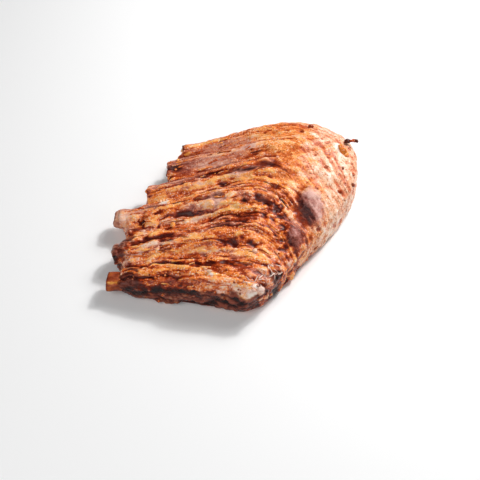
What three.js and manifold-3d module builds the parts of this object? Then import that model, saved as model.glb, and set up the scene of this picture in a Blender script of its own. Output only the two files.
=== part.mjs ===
// A rack of roasted pork ribs, lying convex side up: one slab of meat with six rib bones that run
// through it and stand out of its torn left edge. Millimetres, +Z up, the bones along X. The origin is
// at the bottom centre of the whole rack's box.
import * as THREE from 'three';
import Module from 'manifold-3d';

const wasm = await Module();
wasm.setup();

// ---- driving dimensions ----------------------------------------------------------------------------

// The ribs, front to back.
// tip: the bone's cut end. tipZ: height of the bone's middle there.
// knuckleX: the bone's thick end, under the meat near the right edge.
// edge: where the bone's line, carried on, meets the slab's right edge.
// stub: how far the bone stands out of the meat.
// knob: height of the swelling that the knuckle makes in the meat.
const RIBS = [
  { tip: [-97, -33], knuckleX: 6, edge: [20, -48], tipZ: 10.5, stub: 8, knob: 2.5 },
  { tip: [-93, -9], knuckleX: 36, edge: [50, -9], tipZ: 11, stub: 0.5, knob: 4 },
  { tip: [-96, 26], knuckleX: 56, edge: [76, 25], tipZ: 12, stub: 7, knob: 6 },
  { tip: [-72, 50], knuckleX: 66, edge: [88, 50], tipZ: 13, stub: 2, knob: 1.5 },
  { tip: [-58, 76], knuckleX: 70, edge: [91, 73], tipZ: 14, stub: 1, knob: 1 },
  { tip: [-46, 93], knuckleX: 62, edge: [87, 93], tipZ: 15, stub: 3, knob: 0.5 },
];
const BONE_WIDTH = 13.5;
const BONE_THICKNESS = 8;
const BONE_SHAFT_NARROWING = 0.2; // of the shaft's middle, as a share of the width and the thickness
const BONE_COVER = 4.5; // meat over a bone
const BONE_RISE_END = 0.35; // along the slab, where a bone has come up from its tip's height to that cover
const BONE_GAP = 0.3; // between a bone and the meat around it
const BONE_SIDES = 10;
const BONE_STEPS = 12;

// The slab's corners, seen from above.
const FRONT_LEFT = [-82, -41];
const FRONT_RIGHT = [7, -58];
const BACK_LEFT = [-38, 102];
const BACK_RIGHT = [79, 108];
const FRONT_BOW = 2; // the front edge's middle, back from a straight line
const BACK_BOW = 7;
const CORNER_CUT = 0.1; // share of the slab's length that its corners are rounded by
const CORNER_POWER = 9;

const LEFT_HEIGHT = 18; // the slab's thickness at the bones' ends
const DOME_HEIGHT = 43; // and where it is thickest
const FRONT_SHARE = 0.42; // how much of the dome is left at the front edge
const BACK_SHARE = 0.92;
const RIGHT_SHARE = 0.78;
const DOME_TOP = [0.74, 0.62]; // where the slab is thickest, along and across
const RIM_HEIGHT = 0.45; // height of the widest line of the rim, as a share of the thickness
const RIM_POWER = 5; // how blunt the rim is: 2 is an ellipse
const FLAT_FROM = 0.88; // the underside is flat where the rim's rounding has come this far
const BASE_EDGE_POWER = 0.5; // how steeply the rim's rounding meets that flat
const RIDGE_HEIGHT = 3.6; // of the ridge over each bone
const STRIP_HEIGHT = 1.3; // of the strip of meat between two bones
const KNOB_RADIUS = 9.3; // of the swelling over a bone's knuckle
const RIDGE_FADE = [0.55, 0.85]; // along the slab, where the ridges and strips sink into the dome
const NOTCH_DEPTH = 7; // of the meat's left edge, between two bones
const NOTCH_FADE = 12; // how soon a notch ends, inwards from the left edge
const NOTCH_CORNER_POWER = 6; // how close to the front and back corners the notches come
const BASE_GROOVE = 2.2; // of the underside, between two bones
const BASE_GROOVE_FADE = [0.7, 0.95]; // along the slab, where the grooves run out
const BASE_PRESSED = 1.4; // how much of that relief the slab's own weight presses flat

const ALONG_STEPS = 22;
const ACROSS_STEPS = 40;
const RIM_STEPS = [0, 0.006, 0.028]; // finer steps beside the rim

const MEAT_COLOUR = 0xb5622f;
const BONE_COLOUR = 0xc99a78;

// ---- the slab's own coordinates --------------------------------------------------------------------
// along: 0 at the left edge, where the bones stand out, to 1 at the right edge.
// across: 0 at the front edge to 1 at the back edge, with rib number i at (i + 0.5) / 6.

const ribAcross = (i) => (i + 0.5) / RIBS.length;
const clamp01 = (v) => THREE.MathUtils.clamp(v, 0, 1);
const { lerp, smoothstep } = THREE.MathUtils;
const smooth = (v) => smoothstep(v, 0, 1);

// A smooth curve through [parameter, x, y] rows.
function curveThrough(rows) {
  const slope = (a, b, k) => (rows[b][k] - rows[a][k]) / (rows[b][0] - rows[a][0]);
  return (u) => {
    let i = 0;
    while (i < rows.length - 2 && u > rows[i + 1][0]) i += 1;
    const width = rows[i + 1][0] - rows[i][0];
    const v = (u - rows[i][0]) / width;
    return [1, 2].map((k) => {
      const here = slope(i, i + 1, k);
      const before = i > 0 ? (slope(i - 1, i, k) + here) / 2 : here;
      const after = i < rows.length - 2 ? (slope(i + 1, i + 2, k) + here) / 2 : here;
      const v2 = v * v;
      const v3 = v2 * v;
      return rows[i][k] * (2 * v3 - 3 * v2 + 1) + before * width * (v3 - 2 * v2 + v)
        + rows[i + 1][k] * (3 * v2 - 2 * v3) + after * width * (v3 - v2);
    });
  };
}

const leftCurve = curveThrough([
  [0, ...FRONT_LEFT],
  ...RIBS.map((rib, i) => [ribAcross(i), rib.tip[0] + rib.stub, rib.tip[1]]),
  [1, ...BACK_LEFT],
]);

const rightCurve = curveThrough([
  [0, ...FRONT_RIGHT],
  ...RIBS.map((rib, i) => [ribAcross(i), ...rib.edge]),
  [1, ...BACK_RIGHT],
]);

// 1 over each bone, and 0 halfway to the next.
const ribWave = (across) => 0.5 - 0.5 * Math.cos(2 * Math.PI * across * RIBS.length);

// Where a place of the slab is, seen from above. Rows of one across run along the bones.
function plan(along, across) {
  const left = leftCurve(across);
  const right = rightCurve(across);
  const fromMiddle = Math.abs(2 * across - 1);
  const notch = NOTCH_DEPTH * (1 - ribWave(across)) * (1 - fromMiddle ** NOTCH_CORNER_POWER);
  const cut = 1 - CORNER_CUT * fromMiddle ** CORNER_POWER;
  const s = 0.5 + (along - 0.5) * cut;
  const bow = lerp(FRONT_BOW, BACK_BOW, smooth(across)) * 4 * s * (1 - s);
  return [
    lerp(left[0] + notch * Math.exp(-NOTCH_FADE * s), right[0], s),
    lerp(left[1], right[1], s) + bow,
  ];
}

// The place along a row of the slab that has this x.
function alongAt(x, across) {
  const [left] = plan(0, across);
  const [right] = plan(1, across);
  return clamp01((x - left) / (right - left));
}

// Rises from its start's height to 1 at the top, and falls from there to its end's height.
function hill(u, top, start, end) {
  return u < top ? lerp(start, 1, smooth(u / top)) : lerp(1, end, smooth((u - top) / (1 - top)));
}

function domeHeight(along, across) {
  const share = hill(along, DOME_TOP[0], 0, RIGHT_SHARE) * hill(across, DOME_TOP[1], FRONT_SHARE, BACK_SHARE);
  return LEFT_HEIGHT + (DOME_HEIGHT - LEFT_HEIGHT) * share;
}

// How far the top stands over the dome: ridges over the bones, strips between them, and the swellings
// over the knuckles.
function relief(along, across) {
  const fade = 1 - smoothstep(along, ...RIDGE_FADE);
  const ridges = RIDGE_HEIGHT * (ribWave(across) - 0.5);
  const strips = STRIP_HEIGHT * (0.5 - 0.5 * Math.cos(4 * Math.PI * across * RIBS.length));
  const [x, y] = plan(along, across);
  const knobs = RIBS.reduce((sum, rib, i) => {
    const [knuckleX, knuckleY] = plan(alongAt(rib.knuckleX, ribAcross(i)), ribAcross(i));
    const away = Math.hypot(x - knuckleX, y - knuckleY);
    return sum + rib.knob * Math.exp(-((away / KNOB_RADIUS) ** 2));
  }, 0);
  return (ridges + strips) * fade + knobs;
}

function underside(along, across) {
  const groove = BASE_GROOVE * (1 - ribWave(across)) * (1 - smoothstep(along, ...BASE_GROOVE_FADE));
  return Math.max(0, groove - BASE_PRESSED);
}

const rimShare = (u) => Math.max(0, 1 - Math.abs(2 * u - 1) ** RIM_POWER) ** (1 / RIM_POWER);

// side is 1 on the top and -1 underneath; both meet at the rim.
function slabPoint(along, across, side) {
  const [x, y] = plan(along, across);
  const full = rimShare(along) * rimShare(across);
  const top = domeHeight(along, across) + relief(along, across) * full;
  const rim = RIM_HEIGHT * top;
  if (side > 0) return [x, y, lerp(rim, top, full)];
  return [x, y, lerp(rim, underside(along, across), clamp01(full / FLAT_FROM) ** BASE_EDGE_POWER)];
}

// ---- solids ----------------------------------------------------------------------------------------

function indexed(positions, index) {
  const geometry = new THREE.BufferGeometry();
  geometry.setAttribute('position', new THREE.Float32BufferAttribute(positions, 3));
  geometry.setIndex(index);
  return geometry;
}

// Grid lines from 0 to 1, closer together beside both ends.
function steps(count) {
  const edge = RIM_STEPS[RIM_STEPS.length - 1];
  const inner = Array.from({ length: count - 1 }, (_, i) => edge + (1 - 2 * edge) * (i + 1) / count);
  return [...RIM_STEPS, ...inner, ...RIM_STEPS.map((v) => 1 - v).reverse()];
}

// A closed surface of two grids, top and bottom, that share their rim.
function slabGeometry() {
  const alongs = steps(ALONG_STEPS);
  const acrosses = steps(ACROSS_STEPS);
  const positions = [];
  const index = [];
  const isRim = (i, j) => i === 0 || j === 0 || i === alongs.length - 1 || j === acrosses.length - 1;
  const numbers = new Map();
  const vertex = (i, j, side) => {
    const key = `${i},${j},${isRim(i, j) ? 0 : side}`;
    if (!numbers.has(key)) {
      numbers.set(key, positions.length / 3);
      positions.push(...slabPoint(alongs[i], acrosses[j], side));
    }
    return numbers.get(key);
  };
  for (let i = 0; i < alongs.length - 1; i += 1) {
    for (let j = 0; j < acrosses.length - 1; j += 1) {
      for (const side of [1, -1]) {
        const corners = [[i, j], [i + 1, j], [i + 1, j + 1], [i, j + 1]];
        if (side < 0) corners.reverse();
        const [a, b, c, d] = corners.map(([m, n]) => vertex(m, n, side));
        index.push(a, b, c, a, c, d);
      }
    }
  }
  return indexed(positions, index);
}

// The middle line of a bone: out of the slab at its tip, then under the slab's top to its knuckle.
function boneCurve(rib, i) {
  const across = ribAcross(i);
  const points = [];
  for (let k = 0; k <= BONE_STEPS; k += 1) {
    const share = k / BONE_STEPS;
    const x = lerp(rib.tip[0], rib.knuckleX, share);
    const along = alongAt(x, across);
    const [, y] = plan(along, across);
    const under = domeHeight(along, across) - BONE_COVER - BONE_THICKNESS / 2;
    points.push(new THREE.Vector3(x, y, lerp(rib.tipZ, under, smooth(along / BONE_RISE_END))));
  }
  return points;
}

// Half the width and thickness of a bone, thicker at both ends than in the shaft.
function boneHalf(share, gap) {
  const waist = 1 - BONE_SHAFT_NARROWING * Math.sin(Math.PI * share);
  return [waist * BONE_WIDTH / 2 + gap, waist * BONE_THICKNESS / 2 + gap];
}

// A bone's closed surface, swollen by the gap on all sides.
function boneGeometry(rib, i, gap) {
  const points = boneCurve(rib, i);
  const positions = [];
  const index = [];
  points.forEach((point, k) => {
    const [halfWidth, halfThickness] = boneHalf(k / BONE_STEPS, gap);
    const x = point.x + gap * (2 * k / BONE_STEPS - 1);
    for (let side = 0; side < BONE_SIDES; side += 1) {
      const angle = (2 * Math.PI * (side + 0.5)) / BONE_SIDES;
      positions.push(x, point.y + halfWidth * Math.cos(angle), point.z + halfThickness * Math.sin(angle));
    }
  });
  const ring = (k, side) => k * BONE_SIDES + (side % BONE_SIDES);
  for (let k = 0; k < BONE_STEPS; k += 1) {
    for (let side = 0; side < BONE_SIDES; side += 1) {
      index.push(ring(k, side), ring(k, side + 1), ring(k + 1, side + 1));
      index.push(ring(k, side), ring(k + 1, side + 1), ring(k + 1, side));
    }
  }
  for (let side = 1; side < BONE_SIDES - 1; side += 1) {
    index.push(ring(0, 0), ring(0, side + 1), ring(0, side));
    index.push(ring(BONE_STEPS, 0), ring(BONE_STEPS, side), ring(BONE_STEPS, side + 1));
  }
  return indexed(positions, index);
}

function toSolid(geometry) {
  return new wasm.Manifold(new wasm.Mesh({
    numProp: 3,
    vertProperties: geometry.getAttribute('position').array,
    triVerts: new Uint32Array(geometry.getIndex().array),
  }));
}

function toGeometry(solid) {
  const mesh = solid.getMesh();
  return indexed(Array.from(mesh.vertProperties), Array.from(mesh.triVerts));
}

// The slab with a tunnel for each bone.
function meatGeometry() {
  return toGeometry(RIBS.reduce(
    (solid, rib, i) => solid.subtract(toSolid(boneGeometry(rib, i, BONE_GAP))),
    toSolid(slabGeometry()),
  ));
}

// ---- the rack --------------------------------------------------------------------------------------

function part(name, geometry, material) {
  const mesh = new THREE.Mesh(geometry, material);
  mesh.name = name;
  return mesh;
}

const meatMaterial = new THREE.MeshStandardMaterial({ color: MEAT_COLOUR, roughness: 0.45, metalness: 0 });
const boneMaterial = new THREE.MeshStandardMaterial({ color: BONE_COLOUR, roughness: 0.6, metalness: 0 });

const pieces = new THREE.Group();
pieces.add(part('meat', meatGeometry(), meatMaterial));
RIBS.forEach((rib, i) => pieces.add(part(`rib_bone_${i + 1}`, boneGeometry(rib, i, 0), boneMaterial)));

const box = new THREE.Box3().setFromObject(pieces);
const centre = box.getCenter(new THREE.Vector3());
pieces.position.set(-centre.x, -centre.y, -box.min.z);

const rack = new THREE.Group();
rack.add(pieces);

export default rack;
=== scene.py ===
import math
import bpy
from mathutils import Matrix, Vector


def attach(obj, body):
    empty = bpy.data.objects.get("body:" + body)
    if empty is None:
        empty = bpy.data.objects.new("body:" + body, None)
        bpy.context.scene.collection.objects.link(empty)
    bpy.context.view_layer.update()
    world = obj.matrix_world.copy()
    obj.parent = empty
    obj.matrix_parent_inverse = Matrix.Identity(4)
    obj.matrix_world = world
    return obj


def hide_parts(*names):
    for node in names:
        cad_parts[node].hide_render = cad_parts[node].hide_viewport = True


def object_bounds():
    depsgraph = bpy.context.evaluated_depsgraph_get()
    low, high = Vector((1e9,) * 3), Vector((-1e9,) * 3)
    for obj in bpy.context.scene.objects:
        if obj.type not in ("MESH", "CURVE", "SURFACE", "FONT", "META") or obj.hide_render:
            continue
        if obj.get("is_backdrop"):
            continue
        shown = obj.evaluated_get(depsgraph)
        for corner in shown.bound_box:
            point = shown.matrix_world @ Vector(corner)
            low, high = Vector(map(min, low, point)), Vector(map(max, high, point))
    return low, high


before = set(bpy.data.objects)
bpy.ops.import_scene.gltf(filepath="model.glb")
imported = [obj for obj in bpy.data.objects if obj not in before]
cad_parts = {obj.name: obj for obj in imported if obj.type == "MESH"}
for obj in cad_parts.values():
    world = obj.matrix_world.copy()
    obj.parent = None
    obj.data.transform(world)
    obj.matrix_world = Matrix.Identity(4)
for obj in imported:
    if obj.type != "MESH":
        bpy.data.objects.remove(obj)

# The looks of a roasted rack of ribs: the meat as one sculpted mesh, the cut ends of the bones, and
# loose shreds and burnt bits. Metres, in the frame's axes: the bones run along X, their cut ends at -X.

from types import SimpleNamespace

import bpy
import numpy as np
from mathutils import Vector
from mathutils.bvhtree import BVHTree

MM = 0.001
CAD_LOW, CAD_HIGH = (np.array(corner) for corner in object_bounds())
CAD_SIZE = CAD_HIGH - CAD_LOW
BONES = [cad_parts[f"rib_bone_{number}"] for number in range(1, 7)]

# ---- small tools ----


def vertices_of(mesh):
    flat = np.empty(len(mesh.vertices) * 3)
    mesh.vertices.foreach_get("co", flat)
    return flat.reshape(-1, 3)


def move_vertices(mesh, points):
    mesh.vertices.foreach_set("co", points.ravel())
    mesh.update()


def normals_of(mesh):
    flat = np.empty(len(mesh.vertices) * 3)
    mesh.vertex_normals.foreach_get("vector", flat)
    return flat.reshape(-1, 3)


def store(mesh, name, values):
    """Keeps a number or a vector for each vertex, for the material to read."""
    kind, key = ("FLOAT", "value") if values.ndim == 1 else ("FLOAT_VECTOR", "vector")
    mesh.attributes.new(name, kind, "POINT").data.foreach_set(key, values.astype(np.float32).ravel())


def new_mesh(name, points, faces):
    made = bpy.data.meshes.new(name)
    made.from_pydata(points.tolist(), [], faces)
    return made


def new_object(name, data):
    """A new object in the scene."""
    made = bpy.data.objects.new(name, data)
    bpy.context.scene.collection.objects.link(made)
    return made


def angles_round(count):
    return np.arange(count) / count * 2 * math.pi


def smoothstep(low, high, value):
    share = np.clip((value - low) / (high - low), 0, 1)
    return share * share * (3 - 2 * share)


def lerp(a, b, share):
    return a + (b - a) * share


# ---- noise ----


class Noise:
    """Gradient noise in space, about -1 to 1, the same on each run."""

    def __init__(self, seed):
        random = np.random.RandomState(seed)
        self.order = np.tile(random.permutation(256), 3)
        slopes = random.normal(size=(256, 3))
        self.slopes = slopes / np.linalg.norm(slopes, axis=1, keepdims=True)

    def at(self, points):
        cell = np.floor(points).astype(np.int64)
        inside = points - cell
        cell &= 255
        fade = inside ** 3 * (inside * (inside * 6 - 15) + 10)
        total = np.zeros(len(points))
        for step in np.ndindex(2, 2, 2):
            x, y, z = (cell + step).T
            corner = self.order[self.order[self.order[x] + y] + z]
            weight = np.where(step, fade, 1 - fade).prod(axis=1)
            total += weight * np.einsum("ij,ij->i", self.slopes[corner], inside - step)
        return total * 1.6


def noise(points, size, seed):
    """size: how far apart bumps are, in millimetres, along, across and up."""
    return Noise(seed).at(points / np.array(size, float))


def layered(points, size, seed, layers=3):
    """Noise with finer noise on it, each layer half as large and half as strong as the one before."""
    total = 0
    for layer in range(layers):
        total = total + 0.5 ** layer * noise(points, np.array(size) / 2 ** layer, seed + layer)
    return total


def strands(points, size, seed):
    """Round ridges with sharp valleys between them, 0 in a valley and about 1 on a ridge."""
    return np.sqrt(noise(points, size, seed) ** 2 + 0.0025) * 2.2


# ---- the rack's own places ----
# share: 0 at the cut ends of the bones to 1 at the domed edge, along X.
# rib: 1 over the front bone to 6 over the back bone.

RIB_SPACING = 27  # millimetres, for lengths across the ribs


def bone_rings(bone):
    """The middle and the half size (across, up) of a bone at each of its rings, in metres."""
    points = vertices_of(bone.data)
    places = np.unique(points[:, 0].round(5))
    rings = [points[np.abs(points[:, 0] - x) < 2e-5] for x in places]
    middles = np.array([[x, *(r[:, 1:].min(0) + r[:, 1:].max(0)) / 2] for x, r in zip(places, rings)])
    halves = np.array([(r[:, 1:].max(0) - r[:, 1:].min(0)) / 2 for r in rings])
    return middles, halves


RINGS = [bone_rings(bone) for bone in BONES]
BONE_LINES = [np.polyfit(middles[:, 0], middles[:, 1], 2) for middles, _ in RINGS]


def rib_number(points):
    """1 over the front bone to 6 over the back bone, and on at an even pace outside them."""
    x, y = points[:, 0], points[:, 1]
    ends = [middles[-1, 0] for middles, _ in RINGS]
    lines = [np.polyval(line, np.clip(x, CAD_LOW[0], end)) for line, end in zip(BONE_LINES, ends)]
    rib = 1 + (np.minimum(0, y - lines[0]) + np.maximum(0, y - lines[-1])) / (RIB_SPACING * MM)
    for front, back in zip(lines[:-1], lines[1:]):
        rib += np.clip((y - front) / (back - front), 0, 1)
    return rib


def share_along(points):
    return (points[:, 0] - CAD_LOW[0]) / CAD_SIZE[0]


def patch(share, rib, place, half, sharpness):
    """1 at a place (share, rib) and falling away over half lengths in millimetres, along and across."""
    along = (share - place[0]) * CAD_SIZE[0] / MM / half[0]
    across = (rib - place[1]) * RIB_SPACING / half[1]
    return np.exp(-(along ** 2 + across ** 2) ** (sharpness / 2))


def each_patch(share, rib, rows, sharpness=2):
    """The patches of a list one by one."""
    for s, r, along, across, strength in rows:
        yield strength * patch(share, rib, (s, r), (along, across), sharpness)


def patches(share, rib, rows, sharpness=2):
    """The strongest of the patches of a list at each point."""
    return np.max(list(each_patch(share, rib, rows, sharpness)), axis=0)


# ---- where things are on the rack ----

# Each row of these lists is a patch: share, rib, half length along and across (mm), and one or two numbers.
# Swellings over the knuckles: height (mm).
KNOBS = [
    (0.793, 2.74, 8.5, 11.5, 4.8),
    (0.728, 2.02, 5.5, 5.5, 2.4),
    (0.655, 1.25, 9, 8, 1.6),
    (0.585, 0.76, 9, 5, 2.4),
    (0.055, 3.02, 8, 9, 1.2),
    (0.05, 1.95, 8, 12, 2),
    (0.915, 5, 6, 6, 1.6),
    (0.872, 3.68, 7, 6, 1.4),
]
# Smooth grey caps of gristle: strength.
GRISTLE = [
    (0.797, 2.75, 9, 10.5, 1),
    (0.726, 2.01, 5.5, 6.5, 0.9),
]
# Torn pockets: depth (mm). Their hollows are also darkened in the colour, as painted shade.
POCKETS = [
    (0.315, 2.72, 11, 3.6, 1.2),
    (0.448, 3.48, 7, 4, 3),
    (0.635, 4.02, 8, 3.4, 3),
    (0.59, 2.8, 13, 2.4, 1.2),
    (0.51, 1.8, 13, 3, 2.6),
    (0.17, 2.06, 20, 2.2, 2.6),
    (0.23, 1.33, 22, 2, 2),
    (0.36, 1.27, 9, 3, 2.2),
    (0.133, 2.7, 6, 3, 2.6),
    (0.765, 2.48, 4.5, 8, 1.8),
    (0.66, 1.05, 5, 6, 1.6),
    (0.66, 3.16, 8, 3, 1.6),
    (0.42, 4.45, 20, 1.6, 1.4),
    (0.35, 5.45, 22, 1.8, 1.4),
]
# Smooth greyish membrane on the bones, partly its own colour and partly a painted sheen: strength.
MEMBRANE_AND_SHEEN = [
    (0.52, 3.9, 14, 4, 1),
    (0.423, 2.92, 9, 3.5, 1),
    (0.59, 2.86, 13, 3.5, 0.6),
    (0.15, 3.06, 11, 4, 0.8),
    (0.045, 3, 12, 9, 0.3),
    (0.42, 1.55, 10, 2.5, 0.6),
    (0.55, 5, 14, 5, 0.8),
    (0.25, 4.95, 13, 6.5, 0.75),
    (0.35, 5, 18, 3.5, 0.5),
    (0.4, 5.8, 25, 4, 0.5),
    (0.25, 4.2, 20, 3.5, 0.55),
    (0.31, 3.75, 16, 2.5, 0.5),
]
# Pale fat: strength.
FAT = [
    (0.59, 0.81, 5, 3.5, 1.3),
    (0.552, 0.71, 4, 2, 0.9),
    (0.432, 0.68, 7, 2, 0.7),
    (0.21, 3.15, 4.5, 1.8, 1.4),
    (0.722, 2.5, 4, 5, 0.4),
    (0.742, 2.33, 5, 5, 0.35),
    (0.4, 1.03, 3, 1.6, 1),
    (0.11, 1.7, 10, 3.5, 0.6),
    (0.13, 2.38, 8, 2, 0.6),
    (0.7, 1.55, 8, 4, 0.5),
    (0.52, 1.35, 6, 3, 0.5),
]
# Burnt patches: strength. The rows along the front edge (rib below 0.7) are partly char and partly painted
# shade on the side that turns away from the key light.
BURNT = [
    (0.088, 0.88, 8.5, 12, 1.4),
    (0.04, 1.88, 8, 12, 1),
    (0.19, 0.5, 18, 4.5, 0.8),
    (0.48, 0.4, 26, 6.5, 1.2),
    (0.65, 1.14, 7, 7, 0.85),
    (0.52, 0.48, 20, 5.5, 1.3),
    (0.57, 0.64, 7, 2.5, 1.3),
    (0.531, 2.86, 3, 3, 0.7),
    # Painted shade: a dark patch in the hollow under the big knob's lower-left flank.
    (0.776, 2.52, 4.5, 8, 0.45),
    (0.075, 2.28, 7, 6, 1),
    (0.16, 0.58, 20, 5.5, 1.2),
    (0.15, 1.25, 6, 5, 0.5),
]
# Lighter and darker stretches: how much lighter, how much more mauve. Most are the meat's own colour, some
# are painted shade or painted light, as marked.
TINTS_AND_PAINTED_SHADING = [
    (0.66, 3.3, 14, 7, 0.18, -0.2),
    (0.5, 3.68, 14, 4, 0.3, -0.3),
    (0.4, 3.7, 14, 4, 0.28, -0.3),
    (0.54, 2.6, 14, 3.5, 0.1, -0.2),
    # Painted shade: the next two rows darken the pocket at rib 3.5 and its dark oval.
    (0.448, 3.52, 8.5, 4.5, -0.66, 0.1),
    (0.44, 3.36, 8, 3.5, -0.4, 0.2),
    (0.425, 3.08, 7, 3.5, 0.24, 0.5),
    (0.533, 2.86, 4, 3.5, -0.22, 0.3),
    (0.595, 2.86, 12, 3.5, 0.02, 0.2),
    (0.5, 2.66, 9, 3.5, 0.18, -0.3),
    # Painted shade in a slit.
    (0.458, 2.5, 4, 2.5, -0.4, 0),
    (0.447, 2.25, 12, 3.5, -0.06, 0.4),
    (0.57, 2.32, 10, 4, -0.14, 0.3),
    # Painted shade in the long slit over the pocket there.
    (0.17, 2.06, 20, 2, -0.34, 0),
    (0.04, 1.88, 8, 11, -0.1, 0.5),
    (0.29, 5.95, 9, 5, -0.34, -0.3),
    (0.729, 1.98, 7, 7, -0.26, 0),
    (0.26, 5.45, 12, 3.5, 0.2, 0.1),
    (0.3, 3.95, 22, 5, -0.12, 0.2),
    (0.525, 3.95, 12, 5, 0.18, 0.1),
    (0.69, 2.2, 9, 9, -0.1, -0.1),
    # Darker front edge band: partly char, partly painted shade on the side that turns away from the key
    # light.
    (0.48, 0.48, 30, 4.5, -0.38, 0),
    (0.485, 0.7, 10, 3.5, 0.36, 0.2),
    (0.62, 2, 34, 34, 0, -0.12),
    (0.63, 2.6, 18, 7, -0.16, -0.1),
    (0.685, 2.25, 10, 10, -0.08, 0.1),
    (0.72, 2.54, 5.5, 7, 0.36, 0.4),
    (0.744, 2.36, 5.5, 5, 0.38, 0.6),
    (0.727, 2.02, 5.5, 6.5, -0.26, 0),
    (0.765, 1.96, 5, 7, 0.26, 0.3),
    (0.651, 3.2, 5, 4, 0.26, -0.2),
    (0.65, 1.14, 7, 7, -0.2, -0.1),
    # Lighter top-left, here and at share 0.48, rib 5.3: partly the meat's colour, partly a painted sheen.
    (0.38, 4.75, 16, 8, 0.08, 0),
    (0.06, 3, 9, 9, 0.22, 0),
    (0.44, 4.05, 10, 5, 0.08, -0.1),
    (0.325, 2.76, 11, 4, -0.22, 0.5),
    (0.606, 4.3, 9, 3.5, -0.06, 0.3),
    (0.7, 2.45, 8, 12, -0.04, -0.2),
    # Painted shade: this row and the next darken the big knob's lower-left flank, which turns away from the
    # key light.
    (0.749, 2.76, 3.5, 6, -0.55, 0),
    (0.76, 2.61, 6.5, 5.5, -0.62, 0),
    (0.775, 2.7, 8, 7, -0.05, 0),
    # Painted shade: this row and the next, more of the dark flank under the big knob.
    (0.775, 2.48, 6, 3.5, -0.6, 0),
    (0.8, 2.41, 5, 2.5, -0.35, 0),
    (0.558, 1.48, 10, 5, 0.18, -0.2),
    (0.686, 5.87, 7, 2, -0.45, -0.2),
    (0.76, 4.6, 10, 6, -0.16, 0.1),
    # Painted light: the dome's lower right made lighter where it turns away from the key light.
    (0.89, 2.5, 14, 22, 0.04, 0.1),
    (0.78, 3.7, 10, 14, -0.1, 0),
    (0.64, 2, 16, 9, 0, -0.1),
    (0.6, 1.5, 16, 7, 0.06, -0.1),
    (0.15, 2.38, 18, 4, 0.3, -0.1),
    (0.3, 2.35, 20, 4, 0.18, 0),
    (0.16, 1.72, 17, 6.5, 0.22, 0.2),
    (0.36, 1.75, 24, 5, 0.18, -0.1),
    (0.22, 1, 20, 6, -0.18, -0.4),
    (0.44, 1.1, 18, 5, 0.06, -0.4),
    (0.5, 0.8, 22, 4.5, 0.28, 0.2),
    (0.59, 0.76, 8, 4, -0.2, 0),
    (0.33, 2.2, 20, 4.5, 0.06, 0),
    # Lighter top-left: partly the meat's colour, partly a painted sheen.
    (0.48, 5.3, 34, 16, 0.26, -0.05),
    (0.25, 4.9, 11, 8, -0.42, -0.15),
    (0.35, 3.1, 26, 3, 0.08, 0),
    (0.24, 2.85, 18, 4, -0.12, 0),
    (0.4, 1.36, 22, 3, -0.16, -0.2),
    # Painted highlight on the big knob's right side, which faces the key light.
    (0.85, 2.8, 7, 14, 0.22, 0.2),
]
# Smooth stretches with long fine streaks: strength.
SLEEK = [
    (0.4, 5.2, 42, 26, 1),
    (0.25, 4.2, 30, 9, 0.8),
    (0.12, 3.1, 18, 8, 0.8),
    (0.48, 1.5, 12, 4, 0.6),
    (0.045, 3, 12, 12, 1),
]
# Crumbly stretches with no grain: strength.
CRUMBLE = [
    (0.66, 2.5, 15, 13, 1),
    (0.69, 1.9, 10, 12, 1),
    (0.65, 1.3, 9, 9, 1),
    (0.58, 1.75, 9, 5, 0.8),
    (0.56, 1.05, 10, 4, 0.9),
    (0.655, 3.4, 10, 8, 0.7),
    (0.135, 1.25, 7, 7, 0.9),
    (0.125, 2.78, 6, 5, 1),
    (0.2, 2.5, 16, 4, 0.7),
    (0.21, 1.75, 13, 5, 0.7),
    (0.4, 2.45, 9, 4, 0.8),
    (0.36, 3.25, 8, 4, 0.6),
    (0.07, 2.35, 7, 8, 0.9),
]

# Swellings and pits strewn at random over the meat: how many, half length, half width and rise (mm,
# least and most), tilt, seed.
BUNDLES = (330, (14, 48), (2.8, 7.5), (1.2, 3.4), 0.06, 21)
CORDS = (1300, (6, 24), (1.1, 2.2), (0.4, 1.0), 0.1, 22)
PITS = (34, (0.8, 2.6), (0.6, 1.8), (0.4, 1.5), 0.6, 38)

BEND_LENGTH = 38  # millimetres over which the fibres turn by 45 degrees


def bend_of(share, rib):
    """How far the fibres turn towards the front as they near the domed edge, in millimetres."""
    start = lerp(0.54, 0.72, smoothstep(3, 6, rib))
    past = np.maximum(0, share - start) * CAD_SIZE[0] / MM
    turned = np.minimum(past, BEND_LENGTH)
    return turned ** 2 / (2 * BEND_LENGTH) + past - turned


def top_heights(points):
    """A function that gives the height of the slab's upper face above any place in plan."""
    cell = 1.5 * MM
    spare = 4  # cells outside the box on each side
    count = np.ceil(CAD_SIZE[:2] / cell).astype(int) + 2 * spare
    corner = CAD_LOW[:2] - spare * cell
    place = ((points[:, :2] - corner) / cell).astype(int)
    grid = np.zeros(count)
    np.maximum.at(grid, (place[:, 0], place[:, 1]), points[:, 2])
    known = (grid > 0).astype(float)
    for axis in (0, 1, 0, 1):
        grid = grid + np.roll(grid, 1, axis) + np.roll(grid, -1, axis)
        known = known + np.roll(known, 1, axis) + np.roll(known, -1, axis)
    grid = grid / np.maximum(known, 1)

    def height(places):
        at = np.clip((places[:, :2] - corner) / cell - 0.5, 0, count - 2)
        low = at.astype(int)
        right, back = (at - low).T
        i, j = low.T
        front = lerp(grid[i, j], grid[i + 1, j], right)
        return lerp(front, lerp(grid[i, j + 1], grid[i + 1, j + 1], right), back)

    return height


def across_fibres(points):
    """How far across the fibres each point is, in millimetres."""
    rib = rib_number(points)
    return rib * RIB_SPACING + bend_of(share_along(points), rib)


def flow_of(points, top):
    """Places in millimetres: along the fibres, across them, and up from the slab's upper face."""
    return np.column_stack([points[:, 0] / MM, across_fibres(points), (points[:, 2] - top(points)) / MM])


# ---- the meat ----

VOXEL = 0.78 * MM
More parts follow.
